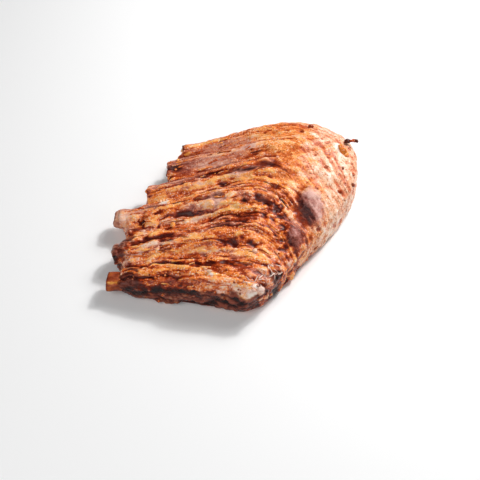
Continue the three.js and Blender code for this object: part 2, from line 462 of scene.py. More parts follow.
# For each bone: millimetres that stay bare, and how much thicker than the bone its sleeve of meat is.
SLEEVES = [(10.8, 1.3), (0.4, 1.3), (5.5, 1.3), (1.6, 1.14), (1.2, 1.2), (1.8, 1.14)]
MOST_TRIANGLES = 196000  # a piece stays under 200,000
DRAWN_OUT = (10.5, 1.5)  # millimetres that the meat's edge is drawn out, near bone 5 and near bone 6
DRAWN_SHORT = 3  # millimetres that it stops short of bone 5's cut end
TOP_SQUEEZE = 2  # what would rise past the CAD's top is squeezed into this many millimetres around it


def joined_copy(parts):
    """One mesh of several (points, mesh) pairs' faces."""
    points, faces, start = [], [], 0
    for moved, mesh in parts:
        points.append(moved)
        faces += [[start + v for v in face.vertices] for face in mesh.polygons]
        start += len(moved)
    return new_mesh("joined", np.concatenate(points), faces)


def modified(mesh, kind, settings, group=None):
    """A new mesh made by one modifier. group: the vertices, if any, that it works on."""
    scratch = new_object("scratch", mesh)
    modifier = scratch.modifiers.new("step", kind)
    for key, value in settings.items():
        setattr(modifier, key, value)
    if group is not None:
        named = scratch.vertex_groups.new(name="chosen")
        named.add(group.tolist(), 1.0, "REPLACE")
        modifier.vertex_group = named.name
    made = bpy.data.meshes.new_from_object(scratch.evaluated_get(bpy.context.evaluated_depsgraph_get()))
    bpy.data.objects.remove(scratch)
    return made


def filled_slab():
    """The meat with its tunnels filled, and a thin sleeve of it around each bone nearly to the cut end."""
    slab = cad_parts["meat"].data
    parts = [(vertices_of(slab), slab)]
    for (bare, girth), bone, (middles, _) in zip(SLEEVES, BONES, RINGS):
        points = vertices_of(bone.data)
        ring = np.argmin(np.abs(points[:, 0, None] - middles[None, :, 0]), axis=1)
        points[:, 1:] = middles[ring, 1:] + (points[:, 1:] - middles[ring, 1:]) * girth
        points[:, 0] = np.maximum(points[:, 0], middles[0, 0] + bare * MM)
        points[:, 0] += np.where(ring == len(middles) - 1, 1 * MM, 0)  # into the tunnel's blind end
        parts.append((points, bone.data))
    return joined_copy(parts)


def neighbour_mean(mesh):
    """A function that gives each vertex the mean of its neighbours' values."""
    flat = np.empty(len(mesh.edges) * 2, np.int32)
    mesh.edges.foreach_get("vertices", flat)
    a, b = flat.reshape(-1, 2).T
    count = len(mesh.vertices)
    degree = np.maximum(np.bincount(a, minlength=count) + np.bincount(b, minlength=count), 1)

    def mean(values, rounds=1):
        for _ in range(rounds):
            values = (np.bincount(a, values[b], count) + np.bincount(b, values[a], count)) / degree
        return values

    return mean


def relax(points, mean, rounds, shrink=0.55, grow=-0.57):
    """Smooths away the facets without shrinking the slab."""
    for step in range(rounds * 2):
        share = shrink if step % 2 == 0 else grow
        points = points + share * (np.column_stack([mean(points[:, k]) for k in range(3)]) - points)
    return points


def base_slab():
    """The slab as one smooth closed mesh of small faces, with larger ones underneath."""
    mesh = modified(filled_slab(), "REMESH", {"mode": "VOXEL", "voxel_size": VOXEL})
    move_vertices(mesh, relax(vertices_of(mesh), neighbour_mean(mesh), 30))
    under = np.nonzero((normals_of(mesh)[:, 2] < -0.9) & (vertices_of(mesh)[:, 2] < 4 * MM))[0]
    triangles = sum(len(face.vertices) - 2 for face in mesh.polygons)
    ratio = min(1, MOST_TRIANGLES / triangles)
    return modified(mesh, "DECIMATE", {"ratio": ratio, "vertex_group_factor": 10}, under)


def lay(flow, bundles):
    """The highest of many long swellings at each point, in millimetres, and that one's shade.

    Each bundle: its middle (a flow place), half length, half width, rise, tilt, shade."""
    order = np.argsort(flow[:, 1])
    across = flow[order, 1]
    best, tone = np.zeros(len(flow)), np.zeros(len(flow))
    for (s, t, u), length, width, rise, tilt, shade in bundles:
        reach = width + abs(tilt) * length
        first, last = np.searchsorted(across, (t - reach, t + reach))
        near = order[first:last]
        near = near[np.abs(flow[near, 0] - s) < length]
        along = flow[near, 0] - s
        aside = (flow[near, 1] - t - tilt * along) / width
        left = 1 - aside ** 2 - ((flow[near, 2] - u) / (1.4 * width)) ** 2 - (along / length) ** 4
        here = rise * np.maximum(left, 0) ** 0.9
        won = here > best[near]
        best[near[won]] = here[won]
        tone[near[won]] = shade
    return best, tone


def strewn(flow, chance, count, length, width, rise, tilt, seed):
    """Bundles with their middles at random points of the mesh. chance: how likely each point is."""
    random = np.random.RandomState(seed)
    middles = flow[random.choice(len(flow), count, p=chance / chance.sum())]
    sizes = random.uniform(size=(count, 3))
    return [
        (middle, lerp(*length, a), lerp(*width, b), lerp(*rise, c), random.normal() * tilt, random.normal())
        for middle, (a, b, c) in zip(middles, sizes)
    ]


def warped(flow, amount, seed):
    moved = flow.copy()
    moved[:, 1] += amount * noise(flow, (22, 13, 13), seed) + 0.5 * amount * noise(flow, (8, 5, 5), seed + 1)
    moved[:, 0] += amount * noise(flow, (12, 6, 6), seed + 2)
    return moved


class Spots:
    """Where the points of the slab are, in all the ways that the looks are worked out from."""

    def __init__(self, points, normals, flow):
        self.share, self.rib = share_along(points), rib_number(points)
        self.place, self.flow, self.warp = points / MM, flow, warped(flow, 2.6, 11)
        # For patches: share and rib with very uneven borders, and with slightly uneven ones.
        loose_share = self.share + 0.018 * layered(flow, (9, 5, 5), 17)
        loose_rib = self.rib + 0.11 * layered(flow, (9, 5, 5), 18)
        self.loose = loose_share, loose_rib
        self.calm = lerp(self.share, loose_share, 0.35), lerp(self.rib, loose_rib, 0.35)
        self.up = normals[:, 2]
        self.facing_up = smoothstep(-0.25, 0.35, self.up)
        self.side = 1 - smoothstep(0.25, 0.7, np.abs(self.up))
        self.under = smoothstep(0.5, 0.9, -self.up)


def kinds_of(at):
    """How much each point is of each kind of surface, and how far the knuckles rise (mm)."""
    dome = at.share + 0.055 * (at.rib - 4.2) + 0.08 * layered(at.place, (20, 12, 12), 13)
    dome = smoothstep(0.58, 0.72, dome)
    membrane_and_sheen = patches(*at.loose, MEMBRANE_AND_SHEEN) + 0.3 * layered(at.warp, (10, 3.5, 3.5), 14)
    membrane_and_sheen = 0.85 * smoothstep(0.25, 0.8, membrane_and_sheen)
    fat = patches(*at.loose, FAT) + 0.35 * layered(at.place, (4, 3, 3), 19)
    fat = smoothstep(0.3, 0.9, fat) * smoothstep(0.1, 0.5, at.up)
    # The front side faces are coloured as burnt: partly char, partly painted shade on the side that turns
    # away from the key light.
    burnt = np.maximum(patches(*at.loose, BURNT), at.side * smoothstep(0.95, 0.65, at.rib) * 0.95)
    burnt = smoothstep(0.3, 0.9, burnt + 0.35 * layered(at.place, (7, 4, 4), 71)) * (1 - fat)
    knob = sum(each_patch(*at.calm, KNOBS, 3))
    sleek = patches(*at.loose, SLEEK) + 0.2 * layered(at.place, (14, 8, 8), 20)
    sleek = smoothstep(0.3, 0.8, sleek) * (1 - dome)
    gristle = patches(*at.calm, GRISTLE, 3) + 0.25 * layered(at.place, (4, 3, 3), 45)
    gristle = 0.9 * smoothstep(0.1, 0.8, gristle)
    dome = dome * (1 - gristle)
    torn = np.clip(1 - dome - 0.5 * membrane_and_sheen - 0.3 * knob - 0.8 * sleek - gristle, 0, 1)
    torn *= 0.85 + 0.6 * noise(at.flow, (26, 14, 14), 16)
    crumble = patches(*at.loose, CRUMBLE) + 0.3 * layered(at.place, (10, 7, 7), 43)
    crumble = smoothstep(0.3, 0.8, crumble) * (1 - dome) * (1 - gristle)
    torn *= 1 - 0.6 * crumble
    return SimpleNamespace(dome=dome, membrane_and_sheen=membrane_and_sheen, fat=fat, burnt=burnt, knob=knob, sleek=sleek,
                           gristle=gristle, torn=torn, crumble=crumble)


def height_of(at, kind, mean):
    """How far each point moves along its normal, in millimetres, and the patterns behind that."""
    chance = 0.1 + np.maximum(kind.torn, 0)
    bundles, bundle_tone = lay(at.warp, strewn(at.warp, chance, *BUNDLES))
    cords, cord_tone = lay(at.warp, strewn(at.warp, chance, *CORDS))
    threads = strands(at.warp, (14, 1.7, 1.7), 23) - 0.75
    lumps = layered(at.place, (9, 6.5, 7), 31)
    grains = layered(at.place, (2.9, 2.6, 2.6), 34, layers=2)
    crumbs = layered(at.place, (4.6, 3.8, 3.8), 44)
    lump_rise = 0.7 + 0.1 * kind.dome - 0.35 * kind.sleek - 0.4 * kind.gristle
    grain_rise = 0.18 - 0.1 * kind.sleek + 0.12 * kind.gristle
    height = kind.torn * (bundles - 1.3 + 0.7 * (cords - 0.5) + 0.2 * threads)
    height += lump_rise * lumps + grain_rise * grains + 0.15 * kind.dome * threads
    height += 1.1 * noise(at.place, (40, 30, 30), 37)
    height += 0.7 * kind.crumble * crumbs
    height += 0.9 * np.cos(2 * math.pi * at.rib) * (1 - smoothstep(0.4, 0.62, at.share)) * at.facing_up
    pits, _ = lay(at.place, strewn(at.place, kind.dome * at.facing_up + 0.01, *PITS))
    height -= pits
    pockets = patches(*at.loose, POCKETS) * (0.85 + 0.6 * noise(at.warp, (8, 3, 3), 41))
    pockets = mean(np.maximum(pockets, 0), 2)
    height += (kind.knob - pockets) * at.facing_up
    rough_edge = at.side * (1 - smoothstep(0.62, 0.8, at.share))
    height += rough_edge * (1.2 * layered(at.place, (9, 7, 5), 51) + 0.5 * noise(at.place, (3, 3, 3), 54))
    height = lerp(height, 0.5 * noise(at.place, (12, 8, 8), 61) + 0.5 * (cords - 0.3), at.under)
    # How deep each point lies in a pocket or pit, which darkens the colour as painted shade.
    hollow_shade = np.clip(pockets / 2.2 + pits * 0.8, 0, 1)
    return height, SimpleNamespace(bundles=bundle_tone, cords=cord_tone, crumbs=crumbs, hollow_shade=hollow_shade)


def tone_and_hue(at, kind, height, pattern, mean):
    """How light each point is, with painted shade and light in it, and how much more mauve than gold."""
    hue = 0.3 + 0.16 * np.sin(9 * pattern.bundles) + 0.14 * np.sin(9 * pattern.cords)
    # More mauve on membrane and smooth stretches: partly their own colour, partly a painted sheen.
    hue = hue + 0.35 * layered(at.warp, (34, 6, 6), 75) + 0.2 * kind.sleek + 0.35 * kind.membrane_and_sheen
    hue += 0.45 * kind.sleek * layered(at.warp, (44, 2.8, 2.8), 78)
    # Painted shade and light: points below the mean height around them are darker, points above it lighter,
    # so valleys look shaded and ridges lit.
    near, wide = height - mean(height, 4), height - mean(height, 34)
    tone = 0.22 * wide + 0.08 * near + kind.torn * (0.08 * pattern.bundles + 0.05 * pattern.cords)
    streaks = 0.09 * (1 - kind.dome - kind.gristle) * layered(at.warp, (20, 1.9, 1.9), 84)
    tone += 0.15 * layered(at.warp, (36, 8, 8), 81) + streaks
    # Painted shade: the crumbly stretches are lighter where their crumbs rise and darker between them.
    tone += 0.12 * kind.crumble * pattern.crumbs
    tone += 0.16 * kind.dome * layered(at.warp, (14, 2.6, 2.6), 87)
    tone = (0.25 - 0.09 * kind.sleek - 0.04 * kind.dome) * (tone - tone.mean()) / tone.std()
    tone += 0.16 * kind.sleek * layered(at.flow, (44, 3.2, 3.2), 86)
    for s, r, along, across, lighter, mauver in TINTS_AND_PAINTED_SHADING:
        near_by = patch(*at.loose, (s, r), (along, across), 2)
        tone += lighter * near_by
        hue += mauver * near_by
    # Painted shade: darker in the pockets and pits, and on faces that turn down.
    tone = 0.57 - 0.07 * kind.dome + tone - 0.22 * pattern.hollow_shade - 0.1 * at.under
    return np.clip(tone, 0, 1), hue


def masks_of(at, kind, tone, hue):
    """What the meat's material reads at each point."""
    above = 1 - at.under
    # Paler towards the domed edge: partly the meat's paler colour, partly a painted highlight on the side
    # that faces the key light.
    pale = at.share + 0.10 * layered(at.place, (12, 9, 9), 73)
    return {
        "dome": kind.dome,
        "pale": kind.dome * smoothstep(0.72, 0.90, pale),
        "hue": hue,
        # On the smooth stretches the membrane colour also stands for a painted sheen.
        "membrane_and_sheen": np.maximum(kind.membrane_and_sheen * above, 0.4 * kind.sleek * above),
        "fat": kind.fat * above,
        "gristle": kind.gristle,
        "burnt": kind.burnt,
        "tone": tone,
    }


def drawn_out(points):
    """Draws the edge of the meat between the two back bones out towards their cut ends."""
    share, rib = share_along(points), rib_number(points)
    amount = lerp(*DRAWN_OUT, np.clip((rib - 5.3) / 0.5, 0, 1)) * smoothstep(5.22, 5.32, rib)
    amount *= (1 - smoothstep(5.75, 5.9, rib)) * (1 - smoothstep(0.27, 0.42, share))
    end = RINGS[4][0][0, 0] + DRAWN_SHORT * MM
    moved = points.copy()
    moved[:, 0] = np.maximum(points[:, 0] - amount * MM, np.minimum(points[:, 0], end))
    return moved


def kept_in_height(points):
    """Squeezes what would rise past the top of the CAD's box, and flattens the underside on the floor."""
    kept = points.copy()
    top = CAD_HIGH[2] - TOP_SQUEEZE * MM / 2
    over = np.maximum(points[:, 2] - top, 0)
    squeezed = TOP_SQUEEZE * MM * (1 - np.exp(-over / (TOP_SQUEEZE * MM)))
    kept[:, 2] = np.maximum(np.minimum(points[:, 2], top) + squeezed, 0)
    return kept


def make_meat():
    mesh = base_slab()
    mean = neighbour_mean(mesh)
    points, normals = vertices_of(mesh), normals_of(mesh)
    top_of = top_heights(points)
    flow = flow_of(points, top_of)
    at = Spots(points, normals, flow)
    kind = kinds_of(at)
    height, pattern = height_of(at, kind, mean)
    masks = masks_of(at, kind, *tone_and_hue(at, kind, height, pattern, mean))
    moved = points + normals * (height * MM)[:, None]
    move_vertices(mesh, drawn_out(kept_in_height(moved)))
    store(mesh, "flow", flow)
    for name, values in masks.items():
        store(mesh, name, values)
    mesh.shade_smooth()
    return mesh, top_of


# ---- materials ----


class Graph:
    """Short ways to make and join a material's nodes."""

    def __init__(self, name):
        self.material = bpy.data.materials.new(name)
        self.material.use_nodes = True
        self.tree = self.material.node_tree
        self.surface = self.tree.nodes["Principled BSDF"]

    def node(self, kind, inputs=(), **settings):
        made = self.tree.nodes.new(kind)
        for key, value in settings.items():
            setattr(made, key, value)
        self.fill(made, dict(inputs))
        return made

    def fill(self, node, inputs):
        for key, value in inputs.items():
            self.put(value, node.inputs[key])

    def put(self, value, socket):
        if isinstance(value, bpy.types.NodeSocket):
            self.tree.links.new(value, socket)
        else:
            socket.default_value = value

    def attribute(self, name, vector=False):
        found = self.node("ShaderNodeAttribute", attribute_name=name)
        return found.outputs["Vector" if vector else "Fac"]

    def math(self, operation, a, b):
        return self.node("ShaderNodeMath", {0: a, 1: b}, operation=operation).outputs[0]

    def add(self, a, b):
        return self.math("ADD", a, b)

    def times(self, a, b):
        return self.math("MULTIPLY", a, b)

    def varied(self, value, *patterns):
        """A value varied by patterns whose middle is 0.5, each given with its amount."""
        for pattern, amount in patterns:
            value = self.add(value, self.times(self.math("SUBTRACT", pattern, 0.5), amount))
        return value

    def between(self, value, low, high, start=0.0, end=1.0):
        inputs = {"Value": value, "From Min": low, "From Max": high, "To Min": start, "To Max": end}
        return self.node("ShaderNodeMapRange", inputs, interpolation_type="SMOOTHSTEP").outputs[0]

    def scaled(self, vector, scale):
        return self.node("ShaderNodeVectorMath", {0: vector, 1: scale}, operation="MULTIPLY").outputs[0]

    def noise(self, vector, size, detail=3.0, roughness=0.55, distortion=0.0):
        """size: millimetres along, across and up, of a flow vector in millimetres."""
        inputs = {"Vector": self.scaled(vector, tuple(1 / s for s in size)), "Scale": 1.0, "Detail": detail,
                  "Roughness": roughness, "Distortion": distortion}
        return self.node("ShaderNodeTexNoise", inputs).outputs["Fac"]

    def ramp(self, factor, stops):
        made = self.node("ShaderNodeValToRGB", {"Fac": factor})
        elements = made.color_ramp.elements
        while len(elements) < len(stops):
            elements.new(0.5)
        for element, (place, colour) in zip(elements, stops):
            element.position = place
            element.color = (*colour, 1)
        return made.outputs["Color"]

    def mix(self, factor, a, b):
        made = self.node("ShaderNodeMix", data_type="RGBA")
        self.put(factor, made.inputs["Factor"])
        self.put(a, made.inputs[6])
        self.put(b, made.inputs[7])
        return made.outputs[2]

    def bump(self, height, strength, distance, normal=None):
        inputs = {"Height": height, "Strength": strength, "Distance": distance}
        if normal is not None:
            inputs["Normal"] = normal
        return self.node("ShaderNodeBump", inputs).outputs["Normal"]


GOLD = [
    (0, (0.035, 0.004, 0.002)),
    (0.2, (0.2, 0.025, 0.004)),
    (0.4, (0.48, 0.082, 0.012)),
    (0.6, (0.79, 0.215, 0.024)),
    (0.8, (0.95, 0.355, 0.062)),
    (1, (0.98, 0.585, 0.215)),
]
ORANGE = [
    (0, (0.055, 0.005, 0.003)),
    (0.2, (0.15, 0.013, 0.003)),
    (0.4, (0.375, 0.04, 0.006)),
    (0.6, (0.7, 0.132, 0.021)),
    (0.8, (0.92, 0.265, 0.052)),
    (1, (0.97, 0.445, 0.12)),
]
MAUVE = [
    (0, (0.07, 0.016, 0.014)),
    (0.2, (0.13, 0.028, 0.018)),
    (0.4, (0.33, 0.08, 0.048)),
    (0.6, (0.56, 0.195, 0.125)),
    (0.8, (0.77, 0.365, 0.255)),
    (1, (0.92, 0.66, 0.52)),
]
DOME = [
    (0, (0.33, 0.04, 0.012)),
    (0.25, (0.56, 0.092, 0.018)),
    (0.5, (0.85, 0.255, 0.06)),
    (0.75, (0.92, 0.42, 0.13)),
    (1, (0.95, 0.62, 0.34)),
]
# The dome's paler colours, partly a painted highlight.
PALE = [
    (0, (0.44, 0.09, 0.04)),
    (0.25, (0.67, 0.175, 0.08)),
    (0.5, (0.85, 0.415, 0.23)),
    (0.75, (0.92, 0.6, 0.42)),
    (1, (0.96, 0.8, 0.7)),
]
# Greyish membrane colours, partly a painted sheen.
MEMBRANE_AND_SHEEN_COLOURS = [
    (0, (0.055, 0.022, 0.02)),
    (0.3, (0.19, 0.07, 0.055)),
    (0.55, (0.43, 0.185, 0.14)),
    (1, (0.76, 0.45, 0.37)),
]
GRISTLES = [
    (0, (0.06, 0.009, 0.008)),
    (0.35, (0.26, 0.075, 0.055)),
    (0.6, (0.42, 0.165, 0.14)),
    (1, (0.76, 0.46, 0.41)),
]
FATS = [
    (0, (0.24, 0.07, 0.04)),
    (0.4, (0.8, 0.43, 0.31)),
    (1, (1, 0.88, 0.8)),
]
BURNTS = [
    (0, (0.008, 0.002, 0.002)),
    (0.5, (0.075, 0.011, 0.006)),
    (1, (0.26, 0.06, 0.034)),
]


def meat_material():
    g = Graph("roasted_meat")
    flow = g.attribute("flow", vector=True)
    place = g.scaled(g.node("ShaderNodeTexCoord").outputs["Object"], (1000, 1000, 1000))
    fibre = g.noise(flow, (7, 0.9, 0.9), detail=3, roughness=0.65, distortion=0.6)
    grain = g.noise(place, (1.3, 1.3, 1.3), detail=3, roughness=0.7)
    blotch = g.noise(place, (7, 5, 5), detail=4, roughness=0.6)
    fleck = g.noise(g.scaled(place, (1, -1, 1)), (1.1, 1.1, 1.1), detail=2, roughness=0.5)
    tint = g.noise(g.scaled(place, (-1, 1, 1)), (2.4, 1.8, 1.8), detail=3, roughness=0.65)
    smooth = g.attribute("dome")
    streaky = g.between(g.attribute("gristle"), 0.0, 1.0, 0.7, 0.15)
    speckled = g.between(g.attribute("gristle"), 0.0, 1.0, 0.55, 1.0)
    tone = g.varied(g.attribute("tone"), (fibre, streaky), (grain, speckled), (blotch, 0.25))
    hue = g.varied(g.attribute("hue"), (tint, 1.8))
    crust = g.mix(g.between(hue, -0.5, 0.1), g.ramp(tone, GOLD), g.ramp(tone, ORANGE))
    crust = g.mix(g.between(hue, 0.25, 0.95), crust, g.ramp(tone, MAUVE))
    # Paler towards the domed edge, partly a painted highlight.
    pale = g.varied(g.attribute("pale"), (tint, 1.2))
    dome = g.mix(g.between(pale, 0.2, 0.8), g.ramp(tone, DOME), g.ramp(tone, PALE))
    colour = g.mix(smooth, crust, dome)
    # Cream flecks on the lighter parts: partly fat specks, partly painted glints.
    cream_flecks_and_glints = g.times(g.between(fleck, 0.58, 0.65), g.between(tone, 0.35, 0.65, 0.0, 0.8))
    colour = g.mix(cream_flecks_and_glints, colour, (0.95, 0.74, 0.58, 1))
    red = g.times(g.between(fleck, 0.43, 0.34), g.between(smooth, 0.0, 1.0, 0.6, 0.85))
    colour = g.mix(red, colour, g.ramp(g.math("SUBTRACT", tone, 0.22), ORANGE))
    layers = (("membrane_and_sheen", MEMBRANE_AND_SHEEN_COLOURS), ("fat", FATS), ("gristle", GRISTLES), ("burnt", BURNTS))
    for mask, stops in layers:
        colour = g.mix(g.attribute(mask), colour, g.ramp(tone, stops))
    fine = g.bump(fibre, g.between(smooth, 0.0, 1.0, 0.25, 0.05), 0.6 * MM)
    g.fill(g.surface, {
        "Base Color": colour,
        "Roughness": g.between(blotch, 0.38, 0.62, 0.12, 0.30),
        "Normal": g.bump(grain, 0.5, 0.6 * MM, fine),
        "IOR": 1.38,
        "Specular IOR Level": 0.33,
        "Subsurface Weight": 0.05,
        "Subsurface Radius": (1.0, 0.35, 0.2),
        "Subsurface Scale": 2 * MM,
    })
    return g.material


BONE_SKIN = [
    (0, (0.025, 0.005, 0.003)),
    (0.3, (0.14, 0.018, 0.006)),
    (0.55, (0.36, 0.062, 0.013)),
    (0.8, (0.64, 0.26, 0.04)),
    (1, (0.82, 0.52, 0.22)),
]
BONE_SKIN_PALE = [
    (0, (0.045, 0.012, 0.012)),
    (0.3, (0.17, 0.055, 0.045)),
    (0.6, (0.51, 0.195, 0.122)),
    (1, (0.85, 0.55, 0.41)),
]
BONE_FACE = [
    (0, (0.05, 0.01, 0.008)),
    (0.35, (0.24, 0.06, 0.032)),
    (0.65, (0.56, 0.3, 0.16)),
    (1, (0.78, 0.6, 0.4)),
]


def bone_material():
    g = Graph("roasted_bone")
    place = g.attribute("flow", vector=True)
    streak = g.noise(place, (6, 0.9, 0.9), detail=4, roughness=0.6)
    grain = g.noise(place, (0.8, 0.8, 0.8), detail=3, roughness=0.6)
    blotch = g.noise(place, (4, 3, 3), detail=3)
    tone = g.varied(g.attribute("tone"), (streak, 0.35), (grain, 0.3), (blotch, 0.5))
    skin = g.mix(g.attribute("pale"), g.ramp(tone, BONE_SKIN), g.ramp(tone, BONE_SKIN_PALE))
    colour = g.mix(g.attribute("face"), skin, g.ramp(tone, BONE_FACE))
    g.fill(g.surface, {
        "Base Color": colour,
        "Roughness": g.between(blotch, 0.3, 0.7, 0.28, 0.55),
        "Normal": g.bump(grain, 0.5, 0.4 * MM, g.bump(streak, 0.4, 0.4 * MM)),
        "Specular IOR Level": 0.2,
    })
    return g.material


# ---- the bones ----

BONE_SIDES = 48
BONE_SQUARENESS = 2.5  # 2 is an ellipse
# The cut face's rings from its middle outwards: millimetres into the bone, share of the full width.
CUT_FACE = [
    (1, 0.03), (1.1, 0.25), (1, 0.45), (0.8, 0.6), (0.35, 0.7),
    (0.1, 0.77), (0, 0.85), (0, 0.93), (0.25, 0.985), (0.7, 1),
]
# For each bone: tone of its outside, how pale and pinkish that is, lean of the cut sideways and upwards,
# tone of the cut face, how much it narrows at the tip, how much it is swollen, how lumpy it is.
BONE_STYLES = [
    (0.44, 0, 0.1, -0.05, 0.5, 0.06, 1.22, 1),
    (0.32, 0.9, -0.12, 0.1, 0.3, 0.4, 1.1, 2.6),
    (0.62, 1, 0.1, 0.12, 0.7, 0.45, 1.28, 1.4),
    (0.6, 0.2, -0.25, 0.05, 0.5, 0.06, 1.05, 1),
    (0.36, 0.4, 0.18, 0.15, 0.35, 0.12, 1.05, 1),
    (0.4, 0, -0.1, -0.15, 0.45, 0.08, 1.05, 1),
]
TIP_LENGTH = 5  # millimetres over which a tip narrows


def ring_faces(rings, sides):
    """The faces of a closed tube of rings, with a flat cap at each end."""
    faces = []
    for ring in range(rings - 1):
        low, high = ring * sides, (ring + 1) * sides
        for k in range(sides):
            nxt = (k + 1) % sides
            faces.append((low + k, low + nxt, high + nxt, high + k))
    faces.append(tuple(reversed(range(sides))))
    faces.append(tuple(range((rings - 1) * sides, rings * sides)))
    return faces


def squarer(wave):
    """A cosine or sine bent so that the oval it draws is squarer than an ellipse."""
    return np.sign(wave) * np.abs(wave) ** (2 / BONE_SQUARENESS)


def make_bone(number):
    middles, halves = RINGS[number]
    tip, far = middles[0, 0], middles[-1, 0]
    shade, pale, lean_aside, lean_up, face_shade, narrow, swollen, lumpy = BONE_STYLES[number]
    shaft = list(np.arange(1.3, 22, 0.6)) + list(np.arange(23, (far - tip) / MM, 4))
    rings = CUT_FACE + [(d, 1.0) for d in shaft] + [((far - tip) / MM - 0.2, 0.97), ((far - tip) / MM, 0.9)]
    depth = np.repeat([d for d, _ in rings], BONE_SIDES)
    wide = np.repeat([w for _, w in rings], BONE_SIDES)
    angle = np.tile(angles_round(BONE_SIDES), len(rings))
    x = tip + depth * MM
    tip_share = np.clip(depth / TIP_LENGTH, 0, 1)
    rounding = 1 - np.sqrt(1 - (1 - tip_share) ** 2)
    girth = lerp(1, swollen, smoothstep(25, 12, depth)) * (1 - narrow * rounding)
    aside, rise = (squarer(wave(angle)) * wide * girth for wave in (np.cos, np.sin))
    half = [np.interp(x, middles[:, 0], halves[:, k]) for k in (0, 1)]
    middle = [np.interp(x, middles[:, 0], middles[:, k]) for k in (1, 2)]
    near_tip = 1 - smoothstep(2, 8, depth)
    x = x + near_tip * (lean_aside * aside * half[0] + lean_up * rise * half[1])
    x += max(0, -(x.min() - tip)) * near_tip
    points = np.column_stack([x, middle[0] + aside * half[0], middle[1] + rise * half[1]])
    mesh = new_mesh("bone", points, ring_faces(len(rings), BONE_SIDES))
    place = points / MM + 40 * number
    on_face = (depth < 0.9) & (wide < 0.97)
    face = smoothstep(0.99, 0.93, wide) * on_face
    marrow = smoothstep(0.78, 0.66, wide) * (wide < 0.9)
    relief = lumpy * 0.4 * layered(place, (7, 4, 4), 91) + 0.12 * strands(place, (6, 1.2, 1.2), 94)
    relief += marrow * 0.45 * layered(place, (1.6, 1.4, 1.4), 95)
    moved = points + normals_of(mesh) * (relief * MM)[:, None]
    moved[:, 2] = np.maximum(moved[:, 2], 0.2 * MM)
    move_vertices(mesh, moved)
    skin_tone = shade + 0.18 * layered(place, (6, 4, 4), 97)
    # Painted shade on the cut face: lighter on its bumps, darker in its dips.
    face_tone = face_shade + 0.15 * (relief - relief.mean())
    tone = lerp(skin_tone, face_tone, face)
    tone += 0.3 * np.exp(-((angle - 2.2 - 0.4 * noise(place, (5, 5, 5), 98)) / 0.22) ** 2) * (1 - face)
    tone -= 0.25 * marrow + 0.18 * smoothstep(1.6, 0.2, depth) * (wide >= 0.97)
    store(mesh, "flow", place)
    store(mesh, "tone", np.clip(tone, 0, 1))
    store(mesh, "face", np.maximum(face, marrow))
    store(mesh, "pale", np.clip(pale + 0.4 * layered(place, (5, 4, 4), 101), 0, 1))
    mesh.shade_smooth()
    return mesh


# ---- shreds and crumbs ----


class Pile:
    """Many small shapes joined in one mesh, with the values that the meat's material reads."""

    def __init__(self):
        self.points, self.faces, self.values = [], [], []
        self.count = 0

    def add(self, points, faces, **values):
        self.points.append(points)
        self.faces += [tuple(v + self.count for v in face) for face in faces]
        self.values.append({key: np.broadcast_to(value, len(points)) for key, value in values.items()})
        self.count += len(points)

    def mesh(self, top):
        points = np.concatenate(self.points)
        made = new_mesh("pile", points, self.faces)
        store(made, "flow", flow_of(points, top) * (1, 1, 0.3))
        for key in ("tone", "hue", "burnt", "fat"):
            found = [values.get(key, np.zeros(len(p))) for values, p in zip(self.values, self.points)]
            store(made, key, np.concatenate(found))
        made.shade_smooth()
        return made


class Ground:
    """The finished meat seen from above."""

    def __init__(self, mesh):
        faces = [tuple(face.vertices) for face in mesh.polygons]
        self.tree = BVHTree.FromPolygons(vertices_of(mesh).tolist(), faces)

    def under(self, x, y):
        place, normal, _, _ = self.tree.ray_cast(Vector((x, y, 1)), Vector((0, 0, -1)))
        if place is None:
            return None, None
        return np.array(place), np.array(normal)


def follow_flow(starts, steps, step):
    """Paths in plan along the fibres, one row of places for each start."""
    places = [starts]
    for _ in range(steps):
        here = np.column_stack([places[-1], np.zeros(len(starts))])
        small = 0.5 * MM
        nudges = ((0, 0, 0), (small, 0, 0), (0, small, 0))
        at, right, back = (across_fibres(here + np.array(nudge)) for nudge in nudges)
        slope = -(right - at) / np.maximum(back - at, 1e-6)
        direction = np.column_stack([np.ones(len(starts)), slope])
        direction /= np.linalg.norm(direction, axis=1, keepdims=True)
        places.append(places[-1] + direction * step)
    return np.array(places).transpose(1, 0, 2)


SHREDS = 260
SHRED_RINGS = 22
SHRED_SIDES = 7


